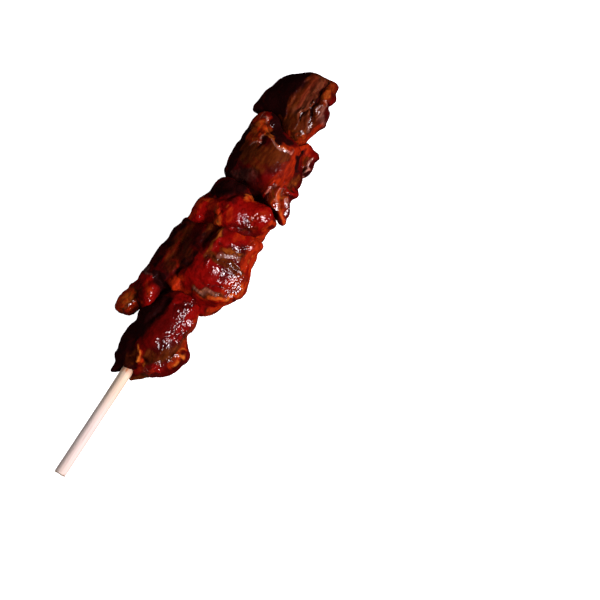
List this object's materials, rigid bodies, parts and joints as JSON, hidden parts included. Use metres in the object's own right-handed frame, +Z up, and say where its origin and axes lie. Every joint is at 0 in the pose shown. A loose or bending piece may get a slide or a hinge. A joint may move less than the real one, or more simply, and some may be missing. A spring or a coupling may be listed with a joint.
{
  "type": "beef kebab skewer",
  "caption": "Glazed beef pieces threaded on a round wooden stick with a bare handle, lying on its side.",
  "frame": {"origin": "bottom centre of the whole kebab's box, on the table under the beef", "axes": "+X along the stick from its bare handle end to the beef end, +Y to the left of the stick, +Z up as it lies"},
  "size_m": [0.2082, 0.0444, 0.0272],
  "materials": {
    "pale_wood": "bare, lightly sanded, fine straight grain",
    "glazed_beef": "dark red beef under a wet, oily marinade with bright glints",
    "browned_beef": "brown beef with a thin wet marinade, orange in its folds"
  },
  "bodies": {
    "root": {"stick": "pale_wood", "beef_1": "glazed_beef", "beef_2": "glazed_beef", "beef_3": "glazed_beef", "beef_4": "browned_beef", "beef_5": "glazed_beef", "beef_6": "browned_beef"}
  },
  "joints": []
}
